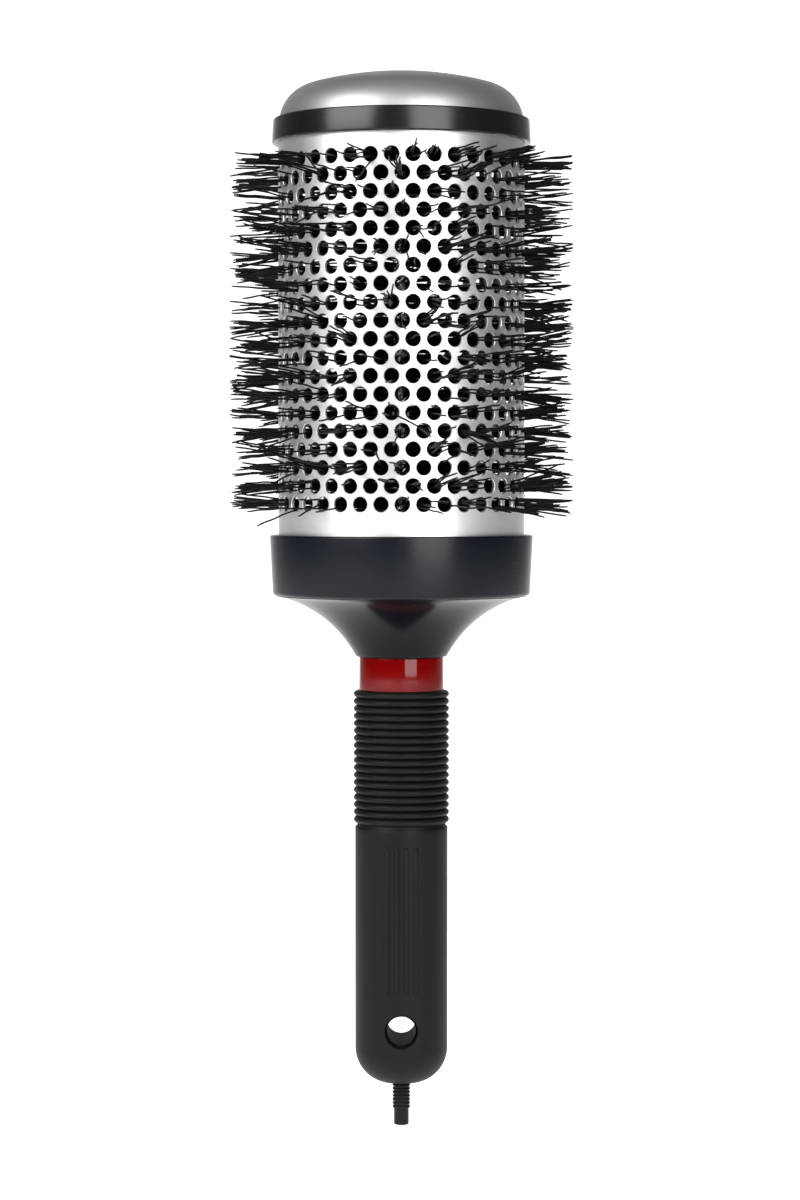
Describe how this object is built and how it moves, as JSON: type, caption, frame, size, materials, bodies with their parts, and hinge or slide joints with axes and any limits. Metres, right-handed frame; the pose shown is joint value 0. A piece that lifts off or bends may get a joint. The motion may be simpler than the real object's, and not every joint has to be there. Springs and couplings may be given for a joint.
{
  "type": "round barrel hair brush",
  "caption": "Large round thermal hair brush: vented metal barrel with nylon bristles, domed cap, flared neck, ribbed rubber handle with a hang hole and a pull-out sectioning pick",
  "frame": {"origin": "centre of the hang hole near the end of the handle", "axes": "+Z along the brush from the handle to the domed cap, +Y along the hang hole, -Y towards the front"},
  "size_m": [0.0896, 0.0896, 0.2721],
  "materials": {
    "silver_lacquer": "satin",
    "cap_plastic": "satin",
    "barrel_metal": "satin",
    "stem_steel": "satin",
    "nylon_bristle": "gloss",
    "collar_plastic": "satin",
    "neck_plastic": "satin",
    "ring_plastic": "gloss",
    "grip_rubber": "matte",
    "core_plastic": "matte",
    "pick_plastic": "satin"
  },
  "bodies": {
    "brush": {"end_cap": "silver_lacquer", "cap_band": "cap_plastic", "barrel": "barrel_metal", "stem_wire_a": "stem_steel", "stem_wire_b": "stem_steel", "collar": "collar_plastic", "neck_cone": "neck_plastic", "red_ring": "ring_plastic", "grip": "grip_rubber", "handle_core": "core_plastic", "bristle_row_01": "nylon_bristle", "bristle_row_02": "nylon_bristle", "bristle_row_03": "nylon_bristle", "bristle_row_04": "nylon_bristle", "bristle_row_05": "nylon_bristle", "bristle_row_06": "nylon_bristle", "bristle_row_07": "nylon_bristle", "bristle_row_08": "nylon_bristle", "bristle_row_09": "nylon_bristle", "bristle_row_10": "nylon_bristle", "bristle_row_11": "nylon_bristle", "bristle_row_12": "nylon_bristle", "bristle_row_13": "nylon_bristle", "bristle_row_14": "nylon_bristle", "bristle_row_15": "nylon_bristle", "bristle_row_16": "nylon_bristle", "bristle_row_17": "nylon_bristle", "bristle_row_18": "nylon_bristle", "bristle_row_19": "nylon_bristle", "bristle_row_20": "nylon_bristle"},
    "pick": {"pick": "pick_plastic"}
  },
  "joints": [
    {"name": "pick_pull", "type": "slide", "parent": "brush", "child": "pick", "axis": [0, 0, -1], "range_m": [0, 0.014]}
  ]
}
